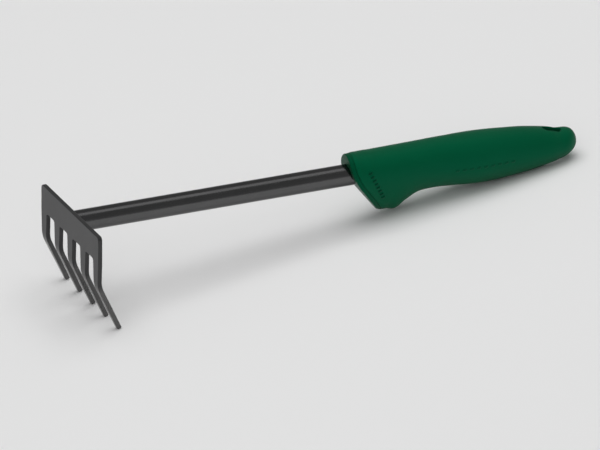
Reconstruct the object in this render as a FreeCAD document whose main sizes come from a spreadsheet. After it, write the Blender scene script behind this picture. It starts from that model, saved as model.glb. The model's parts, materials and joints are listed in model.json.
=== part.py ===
"""Five-tine hand cultivator: stamped steel rake head, steel tube, weld bead and a moulded two-part grip.

Tool frame: +X runs along the tube from the head to the butt of the grip, +Z is up and Y is across the
tines.  X = 0 is the head's front face and Z = 0 is the tube's axis.  Every sub-part is drawn in the tool
frame and then carried by one placement into the rest frame, in which the tool lies on flat ground on its
tine tips and on the underside of the butt.
"""
import FreeCAD, Part
import math
import os
import Sketcher
from FreeCAD import Placement, Rotation, Vector

DOC = FreeCAD.newDocument("hand_cultivator")

# ---------------------------------------------------------------------------------------------------
# Driving dimensions, in millimetres and degrees
# ---------------------------------------------------------------------------------------------------
SIZES = [
    # rake head
    ("sheet_thickness", 2.5, "thickness of the stamped sheet"),
    ("plate_top", 6.8, "height of the plate's top edge above the tube's axis"),
    ("plate_height", 30.4, "top edge down to the line where the two front planes meet"),
    ("bend_angle", 25.0, "how far the tines turn towards the grip"),
    ("bend_radius", 14.0, "inner radius of the bend"),
    ("tine_reach", 29.7, "from the meeting line of the front planes to the tine tips"),
    ("tine_count", 5, "number of tines"),
    ("tine_pitch", 18.0, "distance between neighbouring tines"),
    ("tine_width", 7.5, "width of a tine where its slot ends"),
    ("tip_width", 2.9, "width of a tine at its tip"),
    ("slot_depth", 15.0, "top edge of the plate down to the closed ends of the slots"),
    ("slot_corner", 1.5, "corner radius of a slot's closed end"),
    ("plate_corner", 2.2, "corner radius of the plate's top edge"),
    ("stamped_edge", 0.4, "rounding of the plate's top edge"),
    # tube and weld
    ("tube_diameter", 12.0, "outside diameter of the tube"),
    ("tube_wall", 1.5, "wall of the tube"),
    ("neck_length", 161.8, "visible tube, from the plate's back face to the grip, on the axis"),
    ("tang_length", 84.0, "tube hidden in the grip"),
    ("key_depth", 0.8, "depth of the two flats that key the tube in the grip"),
    ("key_length", 9.0, "length of each flat"),
    ("key_from_end", 14.0, "middle of the flats, back from the hidden end of the tube"),
    ("weld_leg", 2.2, "leg of the fillet weld between tube and plate"),
    ("weld_crown", 0.35, "how far the weld's face bulges"),
    ("weld_top", 3.0, "height above the tube's axis where the weld stops on both sides"),
    # grip, outside
    ("front_slant", 36.5, "slope of the lower part of the grip's front face"),
    ("front_radius", 27.5, "radius that joins the upright and the sloping part of the front face"),
    ("front_upright", 9.9, "height above the axis where the front face starts to curve back"),
    ("flange_thickness", 2.4, "thickness of the core's front flange"),
    ("rim_round", 0.6, "rounding of the flange's front rim"),
    ("joint_round", 0.35, "rounding of the two edges that meet where flange and sleeve join"),
    # grip, inside
    ("core_radius", 8.8, "radius of the core inside the sleeve"),
    ("core_end_wall", 5.0, "core beyond the bottom of the tube's socket"),
    ("socket_gap", 1.0, "gap between the end of the tube and the bottom of its socket"),
    # hang slot
    ("slot_from_end", 14.1, "middle of the hang slot, back from the end of the butt"),
    ("slot_length", 10.8, "length of the hang slot"),
    ("slot_width", 5.4, "width of the hang slot"),
    ("slot_round", 0.5, "rounding of the hang slot's edges"),
    # cutting shapes
    ("overcut", 3.0, "how far a cutting shape runs past the material"),
]

# Sections of the grip, each an oval whose upper and lower halves are half ellipses of one width:
# place behind the front face, half width, reach above and below the widest line, height of that line.
SECTION_FIELDS = ("at", "half", "up", "down", "level")
SECTIONS = [
    ("nose", (-4.0, 6.8, 12.0, 18.0, 0.0)),
    ("collar", (4.5, 11.5, 12.05, 22.0, 0.0)),
    ("guard", (15.7, 11.8, 11.95, 22.6, 0.0)),
    ("lobe", (24.7, 12.0, 12.05, 23.85, 0.0)),
    ("heel", (32.7, 12.0, 12.15, 18.9, 0.0)),
    ("waist", (40.7, 12.0, 12.75, 15.1, -0.4)),
    ("neck", (51.7, 12.2, 13.8, 13.95, -1.2)),
    ("palm", (73.7, 13.3, 14.5, 14.7, -2.0)),
    ("taper", (97.7, 12.0, 13.4, 12.85, -2.6)),
    ("tail", (115.7, 10.4, 10.75, 9.7, -2.8)),
    ("butt", (124.7, 8.8, 8.3, 7.75, -2.4)),
    ("tip", (133.1, 7.8, 9.7, 5.3, -1.8)),
]
SECTION_POINTS = 20
SECTION_SPACING = 4.0
BUTT_TURNS = (18.0, 36.0, 54.0, 69.0, 81.0)


def fill_sheet():
    """Write every driving dimension to the sheet, one row each, under its alias."""
    sheet = DOC.addObject("Spreadsheet::Sheet", "Sizes")
    rows = list(SIZES)
    for name, values in SECTIONS:
        for field, value in zip(SECTION_FIELDS, values):
            rows.append(("%s_%s" % (name, field), value, "grip section %s" % name))
    for row, (alias, value, meaning) in enumerate(rows, start=1):
        sheet.set("A%d" % row, meaning)
        sheet.set("B%d" % row, str(value))
        sheet.setAlias("B%d" % row, alias)
    DOC.recompute()
    return sheet


SHEET = fill_sheet()


def size(alias):
    """Read one driving dimension."""
    return float(getattr(SHEET, alias))


# ---------------------------------------------------------------------------------------------------
# Helpers for bodies, sketches and edges
# ---------------------------------------------------------------------------------------------------
def new_body(label):
    body = DOC.addObject("PartDesign::Body", label)
    body.Label = label
    return body


def origin_feature(body, role):
    return next(feature for feature in body.Origin.OriginFeatures if feature.Role == role)


def new_sketch(body, name, role):
    sketch = body.newObject("Sketcher::SketchObject", name)
    sketch.AttachmentSupport = [(origin_feature(body, role), "")]
    sketch.MapMode = "FlatFace"
    return sketch


def relate(sketch, kind, *references):
    sketch.addConstraint(Sketcher.Constraint(kind, *references))


def dimension(sketch, name, formula, kind, *references):
    """Add a named dimension whose value follows a formula of the sheet's aliases."""
    value = float(sketch.evalExpression(formula))
    if kind == "Angle":
        value = math.radians(value)
    index = sketch.addConstraint(Sketcher.Constraint(kind, *references, value))
    sketch.renameConstraint(index, name)
    sketch.setExpression("Constraints." + name, formula)


def line(start, end):
    return Part.LineSegment(Vector(start[0], start[1], 0), Vector(end[0], end[1], 0))


def arc(centre, radius, start_angle, end_angle):
    circle = Part.Circle(Vector(centre[0], centre[1], 0), Vector(0, 0, 1), radius)
    return Part.ArcOfCircle(circle, math.radians(start_angle), math.radians(end_angle))


def polar(centre, radius, angle):
    turn = math.radians(angle)
    return (centre[0] + radius * math.cos(turn), centre[1] + radius * math.sin(turn))


def middle_of(edge):
    return edge.valueAt((edge.FirstParameter + edge.LastParameter) / 2)


def edge_names(shape, test):
    """Names of the edges whose middle point passes the test."""
    return ["Edge%d" % number for number, edge in enumerate(shape.Edges, start=1) if test(middle_of(edge))]


START, END, CENTRE = 1, 2, 3
ORIGIN_POINT = (-1, 1)
VERTICAL_AXIS = -2

# ---------------------------------------------------------------------------------------------------
# Rake head: one stamped sheet, bent once, with five tapered tines
# ---------------------------------------------------------------------------------------------------
HALF_SHEET_WIDTH = "((Sizes.tine_count - 1) * Sizes.tine_pitch + Sizes.tine_width) / 2"
TIP_DROP = "(Sizes.plate_height + Sizes.tine_reach * cos(Sizes.bend_angle * 1 deg))"
TINE_TAPER = "((Sizes.tine_width - Sizes.tip_width) / 2 / (%s - Sizes.slot_depth))" % TIP_DROP


def head_side_sketch(body):
    """Side view of the bent sheet: upright plate, bend and sloping tines."""
    thickness, top = size("sheet_thickness"), size("plate_top")
    inner, angle = size("bend_radius"), size("bend_angle")
    outer = inner + thickness
    corner = (0.0, top - size("plate_height"))
    tangent = outer * math.tan(math.radians(angle / 2))
    bend_centre = (outer, corner[1] + tangent)
    front_end = polar(bend_centre, outer, 180 + angle)
    back_end = polar(bend_centre, inner, 180 + angle)
    front_tip = polar(corner, size("tine_reach"), angle - 90)
    back_tip = polar(front_tip, thickness, angle)

    sketch = new_sketch(body, "head_side", "XZ_Plane")
    front, front_arc, front_slope, tip, back_slope, back_arc, back, top_edge, meeting = range(9)
    sketch.addGeometry([
        line((0, top), (0, bend_centre[1])),
        arc(bend_centre, outer, 180, 180 + angle),
        line(front_end, front_tip),
        line(front_tip, back_tip),
        line(back_tip, back_end),
        arc(bend_centre, inner, 180, 180 + angle),
        line((thickness, bend_centre[1]), (thickness, top)),
        line((thickness, top), (0, top)),
    ], False)
    sketch.addGeometry(Part.Point(Vector(corner[0], corner[1], 0)), True)
    relate(sketch, "Tangent", front, END, front_arc, START)
    relate(sketch, "Tangent", front_arc, END, front_slope, START)
    relate(sketch, "Coincident", front_slope, END, tip, START)
    relate(sketch, "Coincident", tip, END, back_slope, START)
    relate(sketch, "Tangent", back_slope, END, back_arc, END)
    relate(sketch, "Tangent", back_arc, START, back, START)
    relate(sketch, "Coincident", back, END, top_edge, START)
    relate(sketch, "Coincident", top_edge, END, front, START)
    relate(sketch, "Coincident", front_arc, CENTRE, back_arc, CENTRE)
    relate(sketch, "Vertical", front)
    relate(sketch, "Horizontal", top_edge)
    relate(sketch, "Perpendicular", front_slope, tip)
    relate(sketch, "PointOnObject", front, START, VERTICAL_AXIS)
    relate(sketch, "PointOnObject", meeting, START, front)
    relate(sketch, "PointOnObject", meeting, START, front_slope)
    dimension(sketch, "top", "Sizes.plate_top", "DistanceY", *ORIGIN_POINT, front, START)
    dimension(sketch, "height", "Sizes.plate_height", "DistanceY", meeting, START, front, START)
    dimension(sketch, "reach", "Sizes.tine_reach", "Distance", meeting, START, front_slope, END)
    dimension(sketch, "thickness", "Sizes.sheet_thickness", "DistanceX", top_edge, END, top_edge, START)
    dimension(sketch, "bend", "Sizes.bend_radius", "Radius", back_arc)
    dimension(sketch, "turn", "Sizes.bend_angle", "Angle", front_arc)
    return sketch


def slot_sketch(body):
    """The first slot, seen along the tube: it widens downwards as the tines beside it taper."""
    closed_end = size("plate_top") - size("slot_depth")
    open_end = size("plate_top") - float(SHEET.evalExpression(TIP_DROP)) - size("overcut")
    middle = -(size("tine_count") - 2) / 2 * size("tine_pitch")
    half_top = (size("tine_pitch") - size("tine_width")) / 2
    half_open = half_top + float(SHEET.evalExpression(TINE_TAPER)) * (closed_end - open_end)

    sketch = new_sketch(body, "slot_outline", "YZ_Plane")
    left, closed, right, opening, axis = range(5)
    sketch.addGeometry([
        line((middle - half_open, open_end), (middle - half_top, closed_end)),
        line((middle - half_top, closed_end), (middle + half_top, closed_end)),
        line((middle + half_top, closed_end), (middle + half_open, open_end)),
        line((middle + half_open, open_end), (middle - half_open, open_end)),
    ], False)
    sketch.addGeometry(line((middle, closed_end), (middle, open_end)), True)
    for number in range(4):
        relate(sketch, "Coincident", number, END, (number + 1) % 4, START)
    relate(sketch, "Vertical", axis)
    relate(sketch, "Symmetric", closed, START, closed, END, axis, START)
    relate(sketch, "Symmetric", opening, START, opening, END, axis, END)
    relate(sketch, "Horizontal", closed)
    relate(sketch, "Horizontal", opening)
    dimension(sketch, "middle", "(Sizes.tine_count - 2) / 2 * Sizes.tine_pitch",
              "DistanceX", axis, START, *ORIGIN_POINT)
    dimension(sketch, "closed_end", "Sizes.slot_depth - Sizes.plate_top",
              "DistanceY", axis, START, *ORIGIN_POINT)
    dimension(sketch, "depth", "%s - Sizes.slot_depth + Sizes.overcut" % TIP_DROP,
              "DistanceY", axis, END, axis, START)
    dimension(sketch, "closed_width", "Sizes.tine_pitch - Sizes.tine_width",
              "DistanceX", closed, START, closed, END)
    dimension(sketch, "open_width",
              "Sizes.tine_pitch - Sizes.tine_width + 2 * %s * (%s - Sizes.slot_depth + Sizes.overcut)"
              % (TINE_TAPER, TIP_DROP), "DistanceX", opening, END, opening, START)
    return sketch


def side_trim_sketch(body):
    """The wedge outside an outer tine, so that its outer edge tapers as its inner edge does."""
    shoulder = size("plate_top") - size("slot_depth")
    lower_end = size("plate_top") - float(SHEET.evalExpression(TIP_DROP)) - size("overcut")
    half_width = float(SHEET.evalExpression(HALF_SHEET_WIDTH))
    inset = float(SHEET.evalExpression(TINE_TAPER)) * (shoulder - lower_end)
    outside = half_width + size("overcut")

    sketch = new_sketch(body, "side_trim", "YZ_Plane")
    taper, lower, outer, upper = range(4)
    sketch.addGeometry([
        line((half_width, shoulder), (half_width - inset, lower_end)),
        line((half_width - inset, lower_end), (outside, lower_end)),
        line((outside, lower_end), (outside, shoulder)),
        line((outside, shoulder), (half_width, shoulder)),
    ], False)
    for first, second in ((taper, lower), (lower, outer), (outer, upper), (upper, taper)):
        relate(sketch, "Coincident", first, END, second, START)
    relate(sketch, "Horizontal", lower)
    relate(sketch, "Vertical", outer)
    relate(sketch, "Horizontal", upper)
    dimension(sketch, "half_width", HALF_SHEET_WIDTH, "DistanceX", *ORIGIN_POINT, taper, START)
    dimension(sketch, "shoulder", "Sizes.slot_depth - Sizes.plate_top",
              "DistanceY", taper, START, *ORIGIN_POINT)
    dimension(sketch, "drop", "%s - Sizes.slot_depth + Sizes.overcut" % TIP_DROP,
              "DistanceY", taper, END, taper, START)
    dimension(sketch, "inset", "%s * (%s - Sizes.slot_depth + Sizes.overcut)" % (TINE_TAPER, TIP_DROP),
              "DistanceX", taper, END, taper, START)
    dimension(sketch, "margin", "Sizes.overcut", "DistanceX", taper, START, outer, START)
    return sketch


def through_pocket(body, name, sketch):
    """Cut a sketch through everything, both ways, and make sure that it removed material."""
    before = body.Shape.Volume
    pocket = body.newObject("PartDesign::Pocket", name)
    pocket.Profile = sketch
    pocket.Type = "ThroughAll"
    pocket.Midplane = True
    DOC.recompute()
    if not body.Shape.Volume < before:
        raise RuntimeError("pocket %s cut nothing" % name)
    return pocket


def make_rake_head():
    body = new_body("rake_head")
    sheet = body.newObject("PartDesign::Pad", "bent_sheet")
    sheet.Profile = head_side_sketch(body)
    sheet.Midplane = True
    sheet.setExpression("Length", "2 * %s" % HALF_SHEET_WIDTH)
    DOC.recompute()

    slot = through_pocket(body, "slot", slot_sketch(body))
    slots = body.newObject("PartDesign::LinearPattern", "slots")
    slots.Originals = [slot]
    slots.Direction = (origin_feature(body, "Y_Axis"), [""])
    slots.setExpression("Length", "(Sizes.tine_count - 2) * Sizes.tine_pitch")
    slots.setExpression("Occurrences", "Sizes.tine_count - 1")
    body.Tip = slots
    DOC.recompute()

    trim = through_pocket(body, "side_trim_cut", side_trim_sketch(body))
    trims = body.newObject("PartDesign::Mirrored", "side_trims")
    trims.Originals = [trim]
    trims.MirrorPlane = (origin_feature(body, "XZ_Plane"), [""])
    body.Tip = trims
    DOC.recompute()

    half_width, top = float(SHEET.evalExpression(HALF_SHEET_WIDTH)), size("plate_top")
    mid_sheet = size("sheet_thickness") / 2
    closed_end = top - size("slot_depth")
    slot_corners = body.newObject("PartDesign::Fillet", "slot_corners")
    slot_corners.Base = (trims, edge_names(body.Shape, lambda point: (
        abs(point.y) < half_width - size("tine_width") / 2 and abs(point.z - closed_end) < 1e-6
        and abs(point.x - mid_sheet) < 1e-6)))
    slot_corners.setExpression("Radius", "Sizes.slot_corner")
    body.Tip = slot_corners
    DOC.recompute()

    corners = body.newObject("PartDesign::Fillet", "plate_corners")
    corners.Base = (slot_corners, edge_names(body.Shape, lambda point: (
        abs(abs(point.y) - half_width) < 1e-6 and abs(point.z - top) < 1e-6
        and abs(point.x - mid_sheet) < 1e-6)))
    corners.setExpression("Radius", "Sizes.plate_corner")
    body.Tip = corners
    DOC.recompute()

    rounding = body.newObject("PartDesign::Fillet", "stamped_edges")
    shoulder = top - size("plate_corner") / 2
    rounding.Base = (corners, edge_names(body.Shape, lambda point: (
        point.z > shoulder and abs(abs(point.x - mid_sheet) - mid_sheet) < 1e-6)))
    rounding.setExpression("Radius", "Sizes.stamped_edge")
    body.Tip = rounding
    DOC.recompute()
    return body


# ---------------------------------------------------------------------------------------------------
# Tube and weld bead
# ---------------------------------------------------------------------------------------------------
TUBE_LENGTH = "(Sizes.neck_length + Sizes.tang_length)"


def make_shaft_tube():
    """Steel tube from the plate's back face into the grip, with two pressed flats near its hidden end."""
    body = new_body("shaft_tube")
    ring = new_sketch(body, "tube_ring", "YZ_Plane")
    outside, bore = range(2)
    ring.addGeometry(Part.Circle(Vector(0, 0, 0), Vector(0, 0, 1), size("tube_diameter") / 2), False)
    ring.addGeometry(Part.Circle(Vector(0, 0, 0), Vector(0, 0, 1),
                                 size("tube_diameter") / 2 - size("tube_wall")), False)
    relate(ring, "Coincident", outside, CENTRE, *ORIGIN_POINT)
    relate(ring, "Coincident", bore, CENTRE, *ORIGIN_POINT)
    dimension(ring, "outside", "Sizes.tube_diameter / 2", "Radius", outside)
    dimension(ring, "bore", "Sizes.tube_diameter / 2 - Sizes.tube_wall", "Radius", bore)
    ring.setExpression("AttachmentOffset.Base.z", "Sizes.sheet_thickness")
    pad = body.newObject("PartDesign::Pad", "tube_wall_pad")
    pad.Profile = ring
    pad.setExpression("Length", TUBE_LENGTH)
    DOC.recompute()

    flats = new_sketch(body, "key_flats", "XZ_Plane")
    middle = size("sheet_thickness") + size("neck_length") + size("tang_length") - size("key_from_end")
    near, far = middle - size("key_length") / 2, middle + size("key_length") / 2
    for side in (1, -1):
        floor = side * (size("tube_diameter") / 2 - size("key_depth"))
        outer = floor + side * size("overcut")
        first = flats.GeometryCount
        corners = [(near, floor), (far, floor), (far, outer), (near, outer)]
        for number in range(4):
            flats.addGeometry(line(corners[number], corners[(number + 1) % 4]), False)
        for number in range(4):
            relate(flats, "Coincident", first + number, END, first + (number + 1) % 4, START)
            relate(flats, "Horizontal" if number % 2 == 0 else "Vertical", first + number)
        tag = "upper" if side == 1 else "lower"
        floor_formula = "Sizes.tube_diameter / 2 - Sizes.key_depth"
        if side == 1:
            dimension(flats, tag + "_floor", floor_formula, "DistanceY", *ORIGIN_POINT, first, START)
            dimension(flats, tag + "_over", "Sizes.overcut", "DistanceY", first, START, first + 2, START)
        else:
            dimension(flats, tag + "_floor", floor_formula, "DistanceY", first, START, *ORIGIN_POINT)
            dimension(flats, tag + "_over", "Sizes.overcut", "DistanceY", first + 2, START, first, START)
        dimension(flats, tag + "_near", "Sizes.sheet_thickness + %s - Sizes.key_from_end"
                  " - Sizes.key_length / 2" % TUBE_LENGTH, "DistanceX", *ORIGIN_POINT, first, START)
        dimension(flats, tag + "_length", "Sizes.key_length", "DistanceX", first, START, first, END)
    through_pocket(body, "key_cut", flats)
    return body


def make_weld_bead():
    """Fillet weld on the plate's back face, under the tube and up both of its sides."""
    body = new_body("weld_bead")
    radius, leg = size("tube_diameter") / 2, size("weld_leg")
    plate, crown = size("sheet_thickness"), size("weld_crown")
    profile = new_sketch(body, "weld_profile", "XZ_Plane")
    toe, root, tail = (plate, radius + leg), (plate, radius), (plate + leg, radius)
    half_chord = leg / math.sqrt(2)
    face_radius = (half_chord ** 2 + crown ** 2) / (2 * crown)
    bulge = face_radius - crown
    centre = ((toe[0] + tail[0]) / 2 - bulge / math.sqrt(2), (toe[1] + tail[1]) / 2 - bulge / math.sqrt(2))
    half_turn = math.degrees(math.asin(half_chord / face_radius))
    on_plate, on_tube, face = range(3)
    profile.addGeometry([line(toe, root), line(root, tail), arc(centre, face_radius, 45 - half_turn,
                                                                45 + half_turn)], False)
    relate(profile, "Coincident", on_plate, END, on_tube, START)
    relate(profile, "Coincident", on_tube, END, face, START)
    relate(profile, "Coincident", face, END, on_plate, START)
    relate(profile, "Vertical", on_plate)
    relate(profile, "Horizontal", on_tube)
    dimension(profile, "plate", "Sizes.sheet_thickness", "DistanceX", *ORIGIN_POINT, on_plate, END)
    dimension(profile, "tube", "Sizes.tube_diameter / 2", "DistanceY", *ORIGIN_POINT, on_plate, END)
    dimension(profile, "leg_up", "Sizes.weld_leg", "DistanceY", on_plate, END, on_plate, START)
    dimension(profile, "leg_along", "Sizes.weld_leg", "DistanceX", on_tube, START, on_tube, END)
    dimension(profile, "face", "(Sizes.weld_leg ^ 2 / 2 + Sizes.weld_crown ^ 2) / (2 * Sizes.weld_crown)",
              "Radius", face)
    ring = body.newObject("PartDesign::Revolution", "weld_ring")
    ring.Profile = profile
    ring.ReferenceAxis = (origin_feature(body, "X_Axis"), [""])
    ring.Angle = 360.0
    DOC.recompute()

    open_top = new_sketch(body, "weld_open_top", "YZ_Plane")
    across, level = radius + leg + size("overcut"), size("weld_top")
    above = radius + leg + size("overcut")
    lower, right = range(2)
    open_top.addGeometry([line((-across, level), (across, level)), line((across, level), (across, above)),
                          line((across, above), (-across, above)), line((-across, above), (-across, level))],
                         False)
    for number in range(4):
        relate(open_top, "Coincident", number, END, (number + 1) % 4, START)
        relate(open_top, "Horizontal" if number % 2 == 0 else "Vertical", number)
    reach = "Sizes.tube_diameter / 2 + Sizes.weld_leg + Sizes.overcut"
    dimension(open_top, "level", "Sizes.weld_top", "DistanceY", *ORIGIN_POINT, lower, START)
    dimension(open_top, "above", reach, "DistanceY", *ORIGIN_POINT, right, END)
    dimension(open_top, "right_reach", reach, "DistanceX", *ORIGIN_POINT, lower, END)
    dimension(open_top, "left_reach", reach, "DistanceX", lower, START, *ORIGIN_POINT)
    through_pocket(body, "weld_top_cut", open_top)
    return body


# ---------------------------------------------------------------------------------------------------
# Grip: a moulded core with a front flange, and a sleeve with finger guard and hang slot over it
# ---------------------------------------------------------------------------------------------------
def front_on_axis():
    return size("sheet_thickness") + size("neck_length")


def grip_section(name):
    return {field: size("%s_%s" % (name, field)) for field in SECTION_FIELDS}


def smooth_slopes(places, values):
    """Slopes of a curve through the points that never overshoots them."""
    steps = [(values[i + 1] - values[i]) / (places[i + 1] - places[i]) for i in range(len(places) - 1)]
    slopes = [steps[0]]
    for before, after in zip(steps, steps[1:]):
        slopes.append(0.0 if before * after <= 0 else 2 * before * after / (before + after))
    return slopes + [steps[-1]]


def section_between(sections, at):
    """The grip's section at any place, blended smoothly from its neighbours."""
    places = [section["at"] for section in sections]
    index = max(i for i in range(len(places) - 1) if places[i] <= at + 1e-9)
    length = places[index + 1] - places[index]
    share = (at - places[index]) / length
    blended = {"at": at}
    for field in SECTION_FIELDS[1:]:
        values = [section[field] for section in sections]
        slopes = smooth_slopes(places, values)
        blended[field] = (values[index] * (1 + 2 * share) * (1 - share) ** 2
                          + values[index + 1] * share ** 2 * (3 - 2 * share)
                          + slopes[index] * length * share * (1 - share) ** 2
                          - slopes[index + 1] * length * share ** 2 * (1 - share))
    return blended


def oval(section, scale=1.0):
    """One closed outline across the grip."""
    points = []
    for number in range(SECTION_POINTS):
        turn = 2 * math.pi * number / SECTION_POINTS
        reach = section["up"] if math.sin(turn) > 0 else section["down"]
        points.append(Vector(front_on_axis() + section["at"],
                             scale * section["half"] * math.cos(turn),
                             section["level"] + scale * reach * math.sin(turn)))
    curve = Part.BSplineCurve()
    curve.interpolate(Points=points, PeriodicFlag=True)
    return Part.Wire([curve.toShape()])


def grip_envelope():
    """The grip's outer surface as a solid: a loft through close sections, closed by a rounded butt."""
    sections = [grip_section(name) for name, _ in SECTIONS]
    start, butt, tip = sections[0]["at"], sections[-2]["at"], sections[-1]["at"]
    count = math.ceil((butt - start) / SECTION_SPACING)
    places = [start + (butt - start) * number / count for number in range(count + 1)]
    outlines = [oval(section_between(sections, at)) for at in places]
    for turn in BUTT_TURNS:
        at = butt + (tip - butt) * math.sin(math.radians(turn))
        outlines.append(oval(section_between(sections, at), math.cos(math.radians(turn))))
    return Part.makeLoft(outlines, True, False)


def front_curve_centre():
    offset = math.sqrt(size("front_radius") ** 2 - size("front_upright") ** 2)
    return Vector(front_on_axis() + offset, 0, size("front_upright"))


def behind_front(inset):
    """Everything behind the grip's front face, or behind a surface parallel to it, as one block."""
    centre = front_curve_centre()
    radius = size("front_radius") - inset
    slant = math.radians(size("front_slant"))
    height = max(size(name + "_up") for name, _ in SECTIONS) + size("overcut")
    depth = max(size(name + "_down") for name, _ in SECTIONS) + size("overcut")
    back = front_on_axis() + size("tip_at") + size("overcut")
    across = max(size(name + "_half") for name, _ in SECTIONS) + size("overcut")

    def on_arc(turn):
        return Vector(centre.x - radius * math.cos(turn), -across, centre.z - radius * math.sin(turn))

    arc_start, arc_middle, arc_end = on_arc(0), on_arc(slant / 2), on_arc(slant)
    fall = arc_end.z + depth + size("overcut")
    foot = arc_end + Vector(fall * math.tan(slant), 0, -fall)
    top_front = Vector(arc_start.x, -across, height)
    top_back = Vector(back, -across, height)
    foot_back = Vector(back, -across, foot.z)
    outline = Part.Wire([
        Part.makeLine(top_front, arc_start),
        Part.Arc(arc_start, arc_middle, arc_end).toShape(),
        Part.makeLine(arc_end, foot),
        Part.makeLine(foot, foot_back),
        Part.makeLine(foot_back, top_back),
        Part.makeLine(top_back, top_front),
    ])
    return Part.Face(outline).extrude(Vector(0, 2 * across, 0))


def depth_behind_front(point):
    """How far a point lies behind the grip's front face, square to that face."""
    centre = front_curve_centre()
    radius = size("front_radius")
    slant = math.radians(size("front_slant"))
    if point.z >= centre.z:
        return point.x - centre.x + radius
    turn = math.atan2(centre.z - point.z, centre.x - point.x)
    if turn <= slant:
        return radius - math.hypot(point.x - centre.x, point.z - centre.z)
    return radius + (point.x - centre.x) * math.cos(slant) + (point.z - centre.z) * math.sin(slant)


def round_rim(solid, depth, radius):
    """Round the edges where the grip's outer surface meets a surface at one depth behind the front."""
    edges = []
    for face in solid.Faces:
        if not isinstance(face.Surface, Part.BSplineSurface):
            continue
        for edge in face.Edges:
            ends = [depth_behind_front(vertex.Point) for vertex in edge.Vertexes]
            ends.append(depth_behind_front(middle_of(edge)))
            if all(abs(value - depth) < 0.01 for value in ends):
                edges.append(edge)
    if not edges:
        raise RuntimeError("no rim at depth %.2f" % depth)
    return solid.makeFillet(radius, edges)


def add_feature(name, shape):
    feature = DOC.addObject("Part::Feature", name)
    feature.Shape = shape
    return feature


def make_core_rod():
    """The round part of the core, which fills the sleeve's bore."""
    rod = DOC.addObject("Part::Cylinder", "core_rod")
    rod.setExpression("Radius", "Sizes.core_radius")
    rod.setExpression("Height", "Sizes.tang_length + Sizes.socket_gap + Sizes.core_end_wall")
    rod.Placement = Placement(Vector(0, 0, 0), Rotation(Vector(0, 1, 0), 90))
    rod.setExpression("Placement.Base.x", "Sizes.sheet_thickness + Sizes.neck_length")
    DOC.recompute()
    trimmed = rod.Shape.common(behind_front(size("flange_thickness") / 2))
    front_face = max(trimmed.Faces, key=lambda face: face.CenterOfMass.x)
    return trimmed.makeFillet(size("core_radius") / 3, front_face.Edges)


def make_socket_tool(tube):
    """The tube with its bore filled, and the gap beyond its end: the space that the core leaves."""
    start = size("sheet_thickness")
    radius = size("tube_diameter") / 2
    length = size("neck_length") + size("tang_length")
    bore = Part.makeCylinder(radius - size("tube_wall") / 2, length, Vector(start, 0, 0), Vector(1, 0, 0))
    gap = Part.makeCylinder(radius, size("socket_gap"), Vector(start + length, 0, 0), Vector(1, 0, 0))
    return tube.Shape.fuse([bore, gap]).removeSplitter()


def make_handle_core(envelope, rod, tube):
    flange = envelope.common(behind_front(0)).cut(behind_front(size("flange_thickness")))
    flange = round_rim(flange, 0, size("rim_round"))
    flange = round_rim(flange, size("flange_thickness"), size("joint_round"))
    blank = add_feature("core_blank", flange.fuse(rod).removeSplitter())
    socket = add_feature("tube_socket", make_socket_tool(tube))
    core = DOC.addObject("Part::Cut", "handle_core")
    core.Base = blank
    core.Tool = socket
    DOC.recompute()
    return core


def make_hang_slot_tool():
    """An upright prism with round ends."""
    tall = size("palm_up") + size("palm_down") + size("overcut")
    straight = size("slot_length") - size("slot_width")
    middle = front_on_axis() + size("tip_at") - size("slot_from_end")
    box = DOC.addObject("Part::Box", "slot_middle")
    box.setExpression("Length", "Sizes.slot_length - Sizes.slot_width")
    box.setExpression("Width", "Sizes.slot_width")
    box.Height = 2 * tall
    box.Placement.Base = Vector(middle - straight / 2, -size("slot_width") / 2, -tall)
    ends = []
    for side, name in ((-1, "slot_front_end"), (1, "slot_back_end")):
        end = DOC.addObject("Part::Cylinder", name)
        end.setExpression("Radius", "Sizes.slot_width / 2")
        end.Height = 2 * tall
        end.Placement.Base = Vector(middle + side * straight / 2, 0, -tall)
        ends.append(end)
    tool = DOC.addObject("Part::MultiFuse", "hang_slot")
    tool.Shapes = [box] + ends
    tool.Refine = True
    DOC.recompute()
    return tool


def make_grip_sleeve(envelope, rod):
    outside = envelope.common(behind_front(size("flange_thickness")))
    outside = round_rim(outside, size("flange_thickness"), size("joint_round"))
    bored = add_feature("bored_sleeve", outside.cut(rod))
    slotted = DOC.addObject("Part::Cut", "slotted_sleeve")
    slotted.Base = bored
    slotted.Tool = make_hang_slot_tool()
    DOC.recompute()

    slot_start = front_on_axis() + size("tip_at") - size("slot_from_end") - size("slot_length") / 2
    walls = [face for face in slotted.Shape.Faces
             if face.BoundBox.XMin > slot_start - 0.01 and face.BoundBox.YLength < size("slot_width") + 0.01
             and not isinstance(face.Surface, Part.BSplineSurface)]
    sleeve = DOC.addObject("Part::Fillet", "grip_sleeve")
    sleeve.Base = slotted
    rims = []
    for number, edge in enumerate(slotted.Shape.Edges, start=1):
        on_wall = any(edge.isSame(other) for wall in walls for other in wall.Edges)
        upright = edge.BoundBox.ZLength > 2 * max(edge.BoundBox.XLength, edge.BoundBox.YLength)
        if on_wall and not upright:
            rims.append((number, size("slot_round"), size("slot_round")))
    sleeve.Edges = rims
    DOC.recompute()
    return sleeve


# ---------------------------------------------------------------------------------------------------
# Rest frame, checks and export
# ---------------------------------------------------------------------------------------------------
def lowest(points, slope):
    return min(point.z * math.cos(slope) - point.x * math.sin(slope) for point in points)


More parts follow.
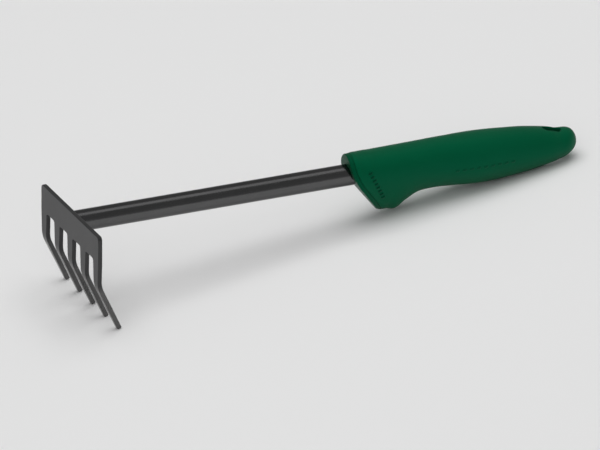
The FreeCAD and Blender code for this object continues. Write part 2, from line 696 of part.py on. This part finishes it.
def rest_placement(head, sleeve, parts):
    """Turn the tool until tips and butt are level, and put the middle of its footprint at the origin."""
    head_points = head.Shape.tessellate(0.02)[0]
    sleeve_points = sleeve.Shape.tessellate(0.02)[0]
    low, high = 0.0, math.radians(45)
    for _ in range(40):
        slope = (low + high) / 2
        if lowest(sleeve_points, slope) > lowest(head_points, slope):
            low = slope
        else:
            high = slope
    turn = Rotation(Vector(0, 1, 0), math.degrees(slope))
    corners = [turn.multVec(point) for part in parts for point in part.Shape.tessellate(0.02)[0]]
    middle = (min(point.x for point in corners) + max(point.x for point in corners)) / 2
    print("tube slope at rest %.3f degrees" % math.degrees(slope))
    return Placement(Vector(-middle, 0, -min(point.z for point in corners)), turn)


def check_document(parts):
    for thing in DOC.Objects:
        if "Invalid" in thing.State or "Error" in thing.State:
            raise RuntimeError("%s failed: %s" % (thing.Label, thing.State))
    for part in parts:
        shape = part.Shape
        if shape.isNull() or not shape.isValid() or len(shape.Solids) != 1:
            raise RuntimeError("%s has no single valid solid" % part.Label)


def main():
    head = make_rake_head()
    tube = make_shaft_tube()
    weld = make_weld_bead()
    envelope = grip_envelope()
    rod = make_core_rod()
    core = make_handle_core(envelope, rod, tube)
    sleeve = make_grip_sleeve(envelope, rod)
    parts = [head, tube, weld, core, sleeve]
    check_document(parts)
    placement = rest_placement(head, sleeve, parts)
    for part in parts:
        part.Placement = placement
    DOC.recompute()
    check_document(parts)
    os.makedirs("parts", exist_ok=True)
    for part in parts:
        box = part.Shape.BoundBox
        part.Shape.exportStep("parts/%s.step" % part.Label)
        print("%-12s %9.1f mm3  x %.2f..%.2f  y %.2f..%.2f  z %.2f..%.2f" % (
            part.Label, part.Shape.Volume, box.XMin, box.XMax, box.YMin, box.YMax, box.ZMin, box.ZMax))
    print("origin of the tool frame at %s" % placement.Base)


main()
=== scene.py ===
"""Five-tine hand cultivator: detailed pieces, materials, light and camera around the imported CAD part."""
import json
import math

import bmesh
import bpy
from mathutils import Matrix, Vector
from mathutils.bvhtree import BVHTree


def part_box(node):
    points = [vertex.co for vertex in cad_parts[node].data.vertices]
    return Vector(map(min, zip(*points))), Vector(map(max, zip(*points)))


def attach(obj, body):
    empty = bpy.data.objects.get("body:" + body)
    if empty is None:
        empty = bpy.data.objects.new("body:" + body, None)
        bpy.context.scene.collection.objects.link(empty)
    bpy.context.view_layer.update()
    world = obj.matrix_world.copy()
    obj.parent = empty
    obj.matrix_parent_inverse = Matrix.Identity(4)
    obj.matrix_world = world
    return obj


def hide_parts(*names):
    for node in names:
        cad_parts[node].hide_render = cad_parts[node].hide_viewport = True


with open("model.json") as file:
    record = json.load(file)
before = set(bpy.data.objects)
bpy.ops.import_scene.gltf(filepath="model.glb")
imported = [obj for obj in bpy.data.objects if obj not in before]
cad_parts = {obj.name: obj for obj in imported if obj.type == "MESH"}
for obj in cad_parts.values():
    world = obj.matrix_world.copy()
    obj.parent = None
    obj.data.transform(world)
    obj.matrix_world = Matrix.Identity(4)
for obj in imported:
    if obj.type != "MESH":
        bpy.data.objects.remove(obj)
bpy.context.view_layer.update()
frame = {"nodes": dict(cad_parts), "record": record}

MM = 0.001

# ---------------------------------------------------------------------------------------------------
# Tool frame: X runs along the tube from the head's front face to the butt, Z is up from the tube's axis
# ---------------------------------------------------------------------------------------------------
# Sizes in millimetres; the bend's height is measured from the tube's axis.
SHEET_THICKNESS = 2.5
TUBE_RADIUS = 6.0
BEND_HEIGHT = -23.6

MOUNTS = {mount["name"]: mount for mount in frame["record"]["mounts"]}
ALONG = -Vector(MOUNTS["head_front_face"]["axis"]).normalized()
ACROSS = Vector((0, 1, 0))
UPWARD = ALONG.cross(ACROSS)
SLOPE = math.atan2(-ALONG.z, ALONG.x)


def tool_origin():
    """The point where the tube's axis meets the head's front face."""
    low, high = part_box("shaft_tube")
    middle = (low + high) / 2
    return middle + ALONG * (Vector(MOUNTS["head_front_face"]["pos_m"]) - middle).dot(ALONG)


ORIGIN = tool_origin()


def in_tool(x, y, z):
    """A point of the tool frame, given in millimetres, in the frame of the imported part."""
    return ORIGIN + (ALONG * x + ACROSS * y + UPWARD * z) * MM


# ---------------------------------------------------------------------------------------------------
# Node helpers
# ---------------------------------------------------------------------------------------------------
class Nodes:
    """A material's node tree, with short ways to add and join nodes."""

    def __init__(self, name):
        self.material = bpy.data.materials.new(name)
        self.material.use_nodes = True
        self.tree = self.material.node_tree
        self.tree.nodes.clear()
        self.output = self.tree.nodes.new("ShaderNodeOutputMaterial")
        self.shader = self.tree.nodes.new("ShaderNodeBsdfPrincipled")
        self.join(self.shader.outputs["BSDF"], self.output.inputs["Surface"])

    def join(self, source, target):
        """Link an output socket to an input socket."""
        self.tree.links.new(source, target)

    def set_shader(self, **values):
        """Set constants on the shader's sockets, with _ for a space in a socket's name."""
        for name, value in values.items():
            self.shader.inputs[name.replace("_", " ")].default_value = value

    def along_tool(self, scale):
        """Coordinates in metres, turned so that X runs along the tube, and scaled."""
        place = self.tree.nodes.new("ShaderNodeTexCoord")
        turned = self.tree.nodes.new("ShaderNodeMapping")
        turned.inputs["Rotation"].default_value = (0, -SLOPE, 0)
        scaled = self.tree.nodes.new("ShaderNodeMapping")
        scaled.inputs["Scale"].default_value = scale
        self.join(place.outputs["Object"], turned.inputs["Vector"])
        self.join(turned.outputs["Vector"], scaled.inputs["Vector"])
        return scaled.outputs["Vector"]

    def height_in_tool(self):
        """Height above the tube's axis, square to it, in metres."""
        split = self.tree.nodes.new("ShaderNodeSeparateXYZ")
        self.join(self.along_tool((1, 1, 1)), split.inputs["Vector"])
        return self.calculate("SUBTRACT", split.outputs["Z"], UPWARD.dot(ORIGIN))

    def noise(self, scale, detail=4.0, roughness=0.55, distortion=0.0):
        """Noise whose grains are 1 / scale metres along each axis of the tool."""
        node = self.tree.nodes.new("ShaderNodeTexNoise")
        node.inputs["Scale"].default_value = 1.0
        node.inputs["Detail"].default_value = detail
        node.inputs["Roughness"].default_value = roughness
        node.inputs["Distortion"].default_value = distortion
        self.join(self.along_tool(scale), node.inputs["Vector"])
        return node.outputs["Fac"]

    def cells(self, scale):
        """Distance to the edges of random cells, 1 / scale metres wide along each axis of the tool."""
        node = self.tree.nodes.new("ShaderNodeTexVoronoi")
        node.feature = "DISTANCE_TO_EDGE"
        node.inputs["Scale"].default_value = 1.0
        self.join(self.along_tool(scale), node.inputs["Vector"])
        return node.outputs["Distance"]

    def spread(self, value, low, high, start=0.0, end=1.0):
        """Map start..end of a value to low..high, clamped."""
        node = self.tree.nodes.new("ShaderNodeMapRange")
        node.inputs["From Min"].default_value = start
        node.inputs["From Max"].default_value = end
        node.inputs["To Min"].default_value = low
        node.inputs["To Max"].default_value = high
        self.join(value, node.inputs["Value"])
        return node.outputs["Result"]

    def calculate(self, operation, first, second):
        """One arithmetic step on two values, each a number or a socket."""
        node = self.tree.nodes.new("ShaderNodeMath")
        node.operation = operation
        for socket, value in zip(node.inputs, (first, second)):
            if isinstance(value, (int, float)):
                socket.default_value = value
            else:
                self.join(value, socket)
        return node.outputs["Value"]

    def blend(self, share, first, second):
        """A colour between two colours, each a tuple or a socket."""
        node = self.tree.nodes.new("ShaderNodeMix")
        node.data_type = "RGBA"
        colour_sockets = [socket for socket in node.inputs if socket.type == "RGBA"]
        self.join(share, node.inputs["Factor"])
        for socket, value in zip(colour_sockets, (first, second)):
            if isinstance(value, tuple):
                socket.default_value = (*value, 1.0)
            else:
                self.join(value, socket)
        return next(socket for socket in node.outputs if socket.type == "RGBA")

    def bump(self, height, strength, distance, normal=None):
        """A normal tilted by a height, on top of another normal if there is one."""
        node = self.tree.nodes.new("ShaderNodeBump")
        node.inputs["Strength"].default_value = strength
        node.inputs["Distance"].default_value = distance
        self.join(height, node.inputs["Height"])
        if normal is not None:
            self.join(normal, node.inputs["Normal"])
        return node.outputs["Normal"]

    def edge_share(self, radius):
        """1 on sharp edges and 0 on flats, from how far a bevelled normal turns."""
        cosine_on_edge, cosine_on_flat = 0.86, 0.995
        bevel = self.tree.nodes.new("ShaderNodeBevel")
        bevel.samples = 4
        bevel.inputs["Radius"].default_value = radius
        flat = self.tree.nodes.new("ShaderNodeNewGeometry")
        turn = self.tree.nodes.new("ShaderNodeVectorMath")
        turn.operation = "DOT_PRODUCT"
        self.join(bevel.outputs["Normal"], turn.inputs[0])
        self.join(flat.outputs["Normal"], turn.inputs[1])
        return self.spread(turn.outputs["Value"], 1.0, 0.0, cosine_on_edge, cosine_on_flat)


# ---------------------------------------------------------------------------------------------------
# Materials
# ---------------------------------------------------------------------------------------------------
# Nearly all values of a noise lie between these two.
NOISE_LOW, NOISE_HIGH = 0.3, 0.7


def all_ways(scale):
    """The same scale along all three axes."""
    return (scale, scale, scale)


def steel(name, dark, light, worn_and_sheen_colour, grain, roughness, metallic, wear_and_painted_sheen_below=None):
    """Dark satin steel: grain along the working direction, cloudy oxide and fine scratches.

    Given a height in metres above the tube's axis, the edges are paler from wear, and the surface below that
    height is lightened towards the pale colour as a painted highlight on the bent tines."""
    cloud_share, fibre_share = 0.6, 0.4
    scratch_width, scratch_wear = 0.012, 0.35
    painted_sheen_share, painted_sheen_fade_below, painted_sheen_fade_above = 0.42, 3 * MM, 1 * MM
    edge_radius, edge_wear_least, edge_wear_most = 0.45 * MM, 0.15, 0.8
    fibre_roughness, wear_gloss = 0.05, 0.08

    nodes = Nodes(name)
    clouds = nodes.noise(all_ways(60), detail=5.0, roughness=0.6)
    fibres = nodes.noise(grain, detail=3.0, roughness=0.5)
    speckle = nodes.noise(all_ways(2600), detail=2.0)
    lines = nodes.spread(nodes.cells((38, 240, 300)), 1.0, 0.0, 0.0, scratch_width)
    patches = nodes.spread(nodes.noise((90, 130, 110), detail=1.0), 0.0, 1.0, start=0.56, end=0.66)
    scratches = nodes.calculate("MULTIPLY", lines, patches)

    tone = nodes.calculate("ADD", nodes.calculate("MULTIPLY", clouds, cloud_share),
                           nodes.calculate("MULTIPLY", fibres, fibre_share))
    colour = nodes.blend(nodes.spread(tone, 0.0, 1.0, NOISE_LOW, NOISE_HIGH), dark, light)
    wear_and_sheen = nodes.calculate("MULTIPLY", scratches, scratch_wear)
    if wear_and_painted_sheen_below is not None:
        # Painted highlight: below the given height the steel is blended towards the pale colour and made a
        # little glossier, standing in for the bright bent tines.
        painted_sheen = nodes.spread(nodes.height_in_tool(), painted_sheen_share, 0.0,
                              start=wear_and_painted_sheen_below - painted_sheen_fade_below, end=wear_and_painted_sheen_below + painted_sheen_fade_above)
        wear_and_sheen = nodes.calculate("MAXIMUM", wear_and_sheen, painted_sheen)
        uneven = nodes.spread(clouds, edge_wear_least, edge_wear_most, start=0.4, end=0.65)
        wear_and_sheen = nodes.calculate("MAXIMUM", wear_and_sheen,
                               nodes.calculate("MULTIPLY", nodes.edge_share(edge_radius), uneven))
    nodes.join(nodes.blend(wear_and_sheen, colour, worn_and_sheen_colour), nodes.shader.inputs["Base Color"])

    satin = nodes.calculate("ADD", nodes.spread(clouds, *roughness, NOISE_LOW, NOISE_HIGH),
                            nodes.calculate("MULTIPLY", fibres, fibre_roughness))
    nodes.join(nodes.calculate("SUBTRACT", satin, nodes.calculate("MULTIPLY", wear_and_sheen, wear_gloss)),
               nodes.shader.inputs["Roughness"])
    relief = nodes.bump(fibres, strength=0.05, distance=0.03 * MM)
    relief = nodes.bump(speckle, strength=0.06, distance=0.01 * MM, normal=relief)
    relief = nodes.bump(nodes.calculate("SUBTRACT", 1.0, scratches), strength=0.25, distance=0.02 * MM,
                        normal=relief)
    nodes.join(relief, nodes.shader.inputs["Normal"])
    nodes.set_shader(Metallic=metallic, Specular_IOR_Level=0.36, Specular_Tint=(0.86, 0.86, 0.86, 1.0))
    return nodes.material


def plastic(name, deep, fresh, roughness, grain_height):
    """Satin moulded plastic: fine spark-eroded grain, with faint flow marks in its colour and gloss."""
    coarse_roughness = 0.06
    nodes = Nodes(name)
    flow = nodes.noise((22, 55, 55), detail=3.0, distortion=0.6)
    grain = nodes.noise(all_ways(3200), detail=2.0, roughness=0.6)
    coarse = nodes.noise(all_ways(900), detail=2.0)
    nodes.join(nodes.blend(nodes.spread(flow, 0.0, 1.0, start=0.32, end=0.68), deep, fresh),
               nodes.shader.inputs["Base Color"])
    satin = nodes.calculate("ADD", nodes.spread(flow, *roughness, NOISE_LOW, NOISE_HIGH),
                            nodes.calculate("MULTIPLY", coarse, coarse_roughness))
    nodes.join(satin, nodes.shader.inputs["Roughness"])
    relief = nodes.bump(coarse, strength=0.12, distance=grain_height)
    relief = nodes.bump(grain, strength=0.22, distance=grain_height, normal=relief)
    nodes.join(relief, nodes.shader.inputs["Normal"])
    nodes.set_shader(IOR=1.49, Specular_IOR_Level=0.30, Specular_Tint=(0.05, 0.9, 0.58, 1.0))
    return nodes.material


def weld_metal():
    """Weld metal: warm and blue heat colours under patches of paler scale."""
    warm, blue, scaled = (0.085, 0.080, 0.078), (0.070, 0.074, 0.088), (0.12, 0.118, 0.115)
    roughness = (0.34, 0.58)
    nodes = Nodes("weld_metal_rippled")
    scale = nodes.noise(all_ways(420), detail=5.0, roughness=0.7)
    heat = nodes.noise(all_ways(150), detail=2.0)
    tinted = nodes.blend(nodes.spread(heat, 0.0, 1.0, start=0.4, end=0.6), warm, blue)
    nodes.join(nodes.blend(nodes.spread(scale, 0.0, 1.0, start=0.5, end=0.7), tinted, scaled),
               nodes.shader.inputs["Base Color"])
    nodes.join(nodes.spread(scale, *roughness, NOISE_LOW, NOISE_HIGH), nodes.shader.inputs["Roughness"])
    nodes.join(nodes.bump(scale, strength=0.35, distance=0.08 * MM), nodes.shader.inputs["Normal"])
    nodes.set_shader(Metallic=1.0)
    return nodes.material


# The sheet's steel carries a painted highlight below the bend height.
STEEL_SHEET = steel("steel_sheet_satin", dark=(0.047, 0.047, 0.048), light=(0.058, 0.058, 0.059),
                    worn_and_sheen_colour=(0.19, 0.188, 0.185), grain=(1500, 1500, 70), roughness=(0.26, 0.33),
                    metallic=0.6, wear_and_painted_sheen_below=BEND_HEIGHT * MM)
STEEL_TUBE = steel("steel_tube_satin", dark=(0.104, 0.104, 0.105), light=(0.118, 0.118, 0.119),
                   worn_and_sheen_colour=(0.17, 0.168, 0.165), grain=(45, 1700, 1700), roughness=(0.13, 0.18),
                   metallic=1.0)
WELD_METAL = weld_metal()
GRIP_GREEN = plastic("grip_green_satin", deep=(0.0004, 0.0760, 0.0306), fresh=(0.0006, 0.0825, 0.0336),
                     roughness=(0.44, 0.50), grain_height=0.05 * MM)
# The core's green is the grip's green darkened: painted shade on the flange's front face and on the palm
# ribs.
CORE_GREEN_PAINTED_SHADE = plastic("core_green_painted_shade", deep=(0.0003, 0.0550, 0.0216), fresh=(0.0005, 0.0615, 0.0242),
                     roughness=(0.40, 0.46), grain_height=0.04 * MM)
# A darker copy of the grip's green: painted shade that stands in for the shadow in the moulded marks on the
# guard.
RIB_GREEN_PAINTED_SHADE = plastic("rib_green_painted_shade", deep=(0.0003, 0.0400, 0.0158), fresh=(0.0004, 0.0450, 0.0176),
                    roughness=(0.38, 0.44), grain_height=0.03 * MM)


# ---------------------------------------------------------------------------------------------------
# Pieces
# ---------------------------------------------------------------------------------------------------
def finish_piece(name, mesh, material):
    """Turn a bmesh into a smooth-shaded object that rides on the only body."""
    data = bpy.data.meshes.new(name)
    mesh.to_mesh(data)
    mesh.free()
    data.materials.append(material)
    data.shade_smooth()
    piece = bpy.data.objects.new(name, data)
    bpy.context.scene.collection.objects.link(piece)
    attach(piece, "root")
    return piece


def make_head():
    """The stamped head with the small radius that tumbling leaves on every cut edge."""
    edge_radius = 0.28 * MM
    merge_distance = 0.002 * MM
    flat_angle, cut_angle = math.radians(0.4), math.radians(35)
    mesh = bmesh.new()
    mesh.from_mesh(frame["nodes"]["rake_head"].data)
    bmesh.ops.remove_doubles(mesh, verts=mesh.verts, dist=merge_distance)
    bmesh.ops.dissolve_limit(mesh, angle_limit=flat_angle, verts=mesh.verts, edges=mesh.edges)
    cut_edges = [edge for edge in mesh.edges
                 if len(edge.link_faces) == 2 and edge.calc_face_angle() > cut_angle]
    bmesh.ops.bevel(mesh, geom=cut_edges, offset=edge_radius, offset_type="OFFSET", segments=3,
                    profile=0.5, affect="EDGES", clamp_overlap=True)
    head = finish_piece("rake_head_stamped", mesh, STEEL_SHEET)
    weighted = head.modifiers.new("weighted_normals", "WEIGHTED_NORMAL")
    weighted.weight = 100
    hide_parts("rake_head")


def weld_section(mesh, turn, thinning):
    """One cross-section of the weld, in the plane through the tube's axis at an angle round it."""
    leg, crown, ripple_depth = 2.1, 0.30, 0.16
    ripple_pitch, ripple_lag = math.radians(8.5), 0.55
    face_points = 11
    lean = math.sqrt(0.5)
    reach = leg * thinning
    section = [(SHEET_THICKNESS, TUBE_RADIUS)]
    for number in range(face_points):
        part = number / (face_points - 1)
        arch = 4 * part * (1 - part)
        ripple = abs(math.sin(math.pi * (turn / ripple_pitch + ripple_lag * (1 - (2 * part - 1) ** 2))))
        bulge = arch * (crown * thinning - ripple_depth * (1 - ripple) ** 2)
        section.append((SHEET_THICKNESS + reach * part + bulge * lean,
                        TUBE_RADIUS + reach * (1 - part) + bulge * lean))
    return [mesh.verts.new(in_tool(along, out * math.cos(turn), out * math.sin(turn)))
            for along, out in section]


def make_weld():
    """The weld laid under the tube and up both sides, as overlapping crescents that thin out at the ends."""
    top_of_weld = math.radians(24)
    start, end = top_of_weld, -math.pi - top_of_weld
    steps = 210
    end_thinning, thickening = 0.35, 9.0
    mesh = bmesh.new()
    rings = []
    for step in range(steps + 1):
        share = step / steps
        thinning = min(1.0, end_thinning + thickening * min(share, 1 - share))
        rings.append(weld_section(mesh, start + (end - start) * share, thinning))
    for before, after in zip(rings, rings[1:]):
        for number in range(len(before)):
            following = (number + 1) % len(before)
            mesh.faces.new((before[number], before[following], after[following], after[number]))
    mesh.faces.new(rings[0])
    mesh.faces.new(reversed(rings[-1]))
    bmesh.ops.recalc_face_normals(mesh, faces=mesh.faces)
    weld = finish_piece("weld_bead_rippled", mesh, WELD_METAL)
    weld.data.set_sharp_from_angle(angle=math.radians(50))
    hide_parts("weld_bead")


def sleeve_surface():
    """The sleeve's faces, ready to be hit by rays."""
    sleeve = frame["nodes"]["grip_sleeve"]
    return BVHTree.FromPolygons([vertex.co for vertex in sleeve.data.vertices],
                                [tuple(face.vertices) for face in sleeve.data.polygons])


SLEEVE = sleeve_surface()


def on_sleeve(x, z, side):
    """The sleeve's surface point and outward normal on one side, at x and z of the tool in millimetres."""
    clear_of_tool = 40
    outside = in_tool(x, side * clear_of_tool, z)
    point, normal, _, _ = SLEEVE.ray_cast(outside, -side * ACROSS)
    return point, normal if normal.y * side > 0 else -normal


def add_rib(mesh, x, z, side, direction, length, width, height):
    """One low rib that follows the sleeve, its long way along direction, with a base under the surface."""
    lengthwise, crosswise = 10, 6
    squareness = 4
    sink = 0.15
    top, base = [], []
    for row in range(lengthwise + 1):
        top_row, base_row = [], []
        for column in range(crosswise + 1):
            u = 2 * row / lengthwise - 1
            v = 2 * column / crosswise - 1
            taper = math.sqrt(max(0.0, 1 - abs(u) ** squareness))
            ahead = u * length / 2
            aside = v * taper * width / 2
            point, normal = on_sleeve(x + direction[0] * ahead - direction[1] * aside,
                                      z + direction[1] * ahead + direction[0] * aside, side)
            low = mesh.verts.new(point - normal * sink * MM)
            on_border = abs(u) == 1 or abs(v) == 1
            rise = height * (1 - u ** squareness) * (1 - v ** squareness)
            base_row.append(low)
            top_row.append(low if on_border else mesh.verts.new(point + normal * rise * MM))
        top.append(top_row)
        base.append(base_row)
    for grid in (top, base):
        for row, following in zip(grid, grid[1:]):
            for column in range(crosswise):
                mesh.faces.new((row[column], following[column], following[column + 1], row[column + 1]))


def finish_ribs(name, mesh, material):
    """Close the ribs' pointed ends and turn their faces outward."""
    bmesh.ops.remove_doubles(mesh, verts=mesh.verts, dist=0.0005 * MM)
    bmesh.ops.recalc_face_normals(mesh, faces=mesh.faces)
    finish_piece(name, mesh, material)


def make_guard_ribs(side, name):
    """A plain row of short ribs behind the flange, parallel to the grip's front face."""
    count = 8
    (first_x, first_z), (last_x, last_z) = (172.3, 3.6), (180.2, -12.2)
    run = Vector((last_x - first_x, last_z - first_z)).normalized()
    mesh = bmesh.new()
    for number in range(count):
        share = number / (count - 1)
        x = first_x + (last_x - first_x) * share
        z = first_z + (last_z - first_z) * share
        add_rib(mesh, x, z, side, (-run.y, run.x), length=2.6, width=1.5, height=0.42)
    # The ribs take the darker green, a painted shade for the marks.
    finish_ribs(name, mesh, RIB_GREEN_PAINTED_SHADE)


def make_palm_ribs(side, name):
    """A faint broken line of very low ribs along the widest part of the grip."""
    count, start, pitch, level = 9, 223.0, 4.1, -3.0
    mesh = bmesh.new()
    for number in range(count):
        add_rib(mesh, start + number * pitch, level, side, (1.0, 0.0), length=2.7, width=1.9, height=0.16)
    # The palm ribs take the core's darker green, a painted shade that makes the faint line show.
    finish_ribs(name, mesh, CORE_GREEN_PAINTED_SHADE)


def dress_node(node, material):
    """Give a CAD node that stays visible its material."""
    data = frame["nodes"][node].data
    data.materials.clear()
    data.materials.append(material)


make_head()
make_weld()
for side, label in ((-1, "near"), (1, "far")):
    make_guard_ribs(side, "guard_ribs_" + label)
    make_palm_ribs(side, "palm_ribs_" + label)
dress_node("shaft_tube", STEEL_TUBE)
# Painted shade: the flange gets the darker green.
dress_node("handle_core", CORE_GREEN_PAINTED_SHADE)
dress_node("grip_sleeve", GRIP_GREEN)


# ---------------------------------------------------------------------------------------------------
# Floor, light and camera
# ---------------------------------------------------------------------------------------------------
def make_floor():
    """A wide sheet of matt white paper."""
    half_width = 6.0
    data = bpy.data.meshes.new("floor")
    corners = [(-half_width, -half_width, 0), (half_width, -half_width, 0),
               (half_width, half_width, 0), (-half_width, half_width, 0)]
    data.from_pydata(corners, [], [(0, 1, 2, 3)])
    nodes = Nodes("floor_paper")
    nodes.set_shader(Base_Color=(0.86, 0.86, 0.86, 1.0), Roughness=0.9, Specular_IOR_Level=0.1)
    data.materials.append(nodes.material)
    floor = bpy.data.objects.new("floor", data)
    bpy.context.scene.collection.objects.link(floor)


def make_world():
    """A dim studio: pale below the horizon, dark above it, with one soft strip high up."""
    # Each stop is a place between straight down, 0, and straight up, 1, with its brightness.
    below_horizon = [(0.0, 0.82), (0.503, 0.82)]
    walls = [(0.52, 0.36), (0.60, 0.27), (0.924, 0.24)]
    strip = [(0.930, 1.30), (0.945, 1.30)]
    ceiling = [(0.952, 0.22), (1.0, 0.22)]
    stops = below_horizon + walls + strip + ceiling
    world = bpy.data.worlds.new("studio")
    bpy.context.scene.world = world
    world.use_nodes = True
    tree = world.node_tree
    tree.nodes.clear()
    direction = tree.nodes.new("ShaderNodeTexCoord")
    split = tree.nodes.new("ShaderNodeSeparateXYZ")
    height = tree.nodes.new("ShaderNodeMapRange")
    height.inputs["From Min"].default_value = -1.0
    ramp = tree.nodes.new("ShaderNodeValToRGB")
    ramp.color_ramp.elements[0].position = stops[0][0]
    ramp.color_ramp.elements[1].position = stops[-1][0]
    for position, _ in stops[1:-1]:
        ramp.color_ramp.elements.new(position)
    for element, (_, level) in zip(ramp.color_ramp.elements, stops):
        element.color = (level, level, level, 1.0)
    background = tree.nodes.new("ShaderNodeBackground")
    output = tree.nodes.new("ShaderNodeOutputWorld")
    tree.links.new(direction.outputs["Generated"], split.inputs["Vector"])
    tree.links.new(split.outputs["Z"], height.inputs["Value"])
    tree.links.new(height.outputs["Result"], ramp.inputs["Fac"])
    tree.links.new(ramp.outputs["Color"], background.inputs["Color"])
    tree.links.new(background.outputs["Background"], output.inputs["Surface"])


def seen_from(azimuth, elevation):
    """The unit vector towards a place at an azimuth and an elevation in degrees."""
    turn, rise = math.radians(azimuth), math.radians(elevation)
    return Vector((math.cos(rise) * math.cos(turn), math.cos(rise) * math.sin(turn), math.sin(rise)))


def make_light(name, azimuth, elevation, distance, width, power):
    """A square soft box that faces the tool and doesn't show in reflections."""
    data = bpy.data.lights.new(name, "AREA")
    data.size = width
    data.energy = power
    light = bpy.data.objects.new(name, data)
    light.location = seen_from(azimuth, elevation) * distance
    light.rotation_euler = light.location.to_track_quat("Z", "Y").to_euler()
    light.visible_glossy = False
    bpy.context.scene.collection.objects.link(light)


def make_camera():
    """A parallel view from the front left and above, with the tube's vertical plane upright in it."""
    azimuth, elevation = -112.9, 23.95
    distance, picture_width = 1.2, 325.2 * MM
    target = in_tool(135.5, 0, -25)
    towards_camera = seen_from(azimuth, elevation)
    back = ALONG * towards_camera.x + ACROSS * towards_camera.y + UPWARD * towards_camera.z
    right = UPWARD.cross(back).normalized()
    up = back.cross(right)
    data = bpy.data.cameras.new("camera")
    data.type = "ORTHO"
    data.ortho_scale = picture_width
    data.clip_end = 20
    camera = bpy.data.objects.new("camera", data)
    facing = Matrix((right, up, back)).transposed().to_4x4()
    camera.matrix_world = Matrix.Translation(target + back * distance) @ facing
    bpy.context.scene.collection.objects.link(camera)
    bpy.context.scene.camera = camera


make_floor()
make_world()
make_light("overhead", azimuth=60, elevation=82, distance=2.2, width=2.2, power=30)
make_light("front_fill", azimuth=-120, elevation=35, distance=2.4, width=1.8, power=10)
make_camera()
bpy.context.scene.view_settings.view_transform = "Standard"
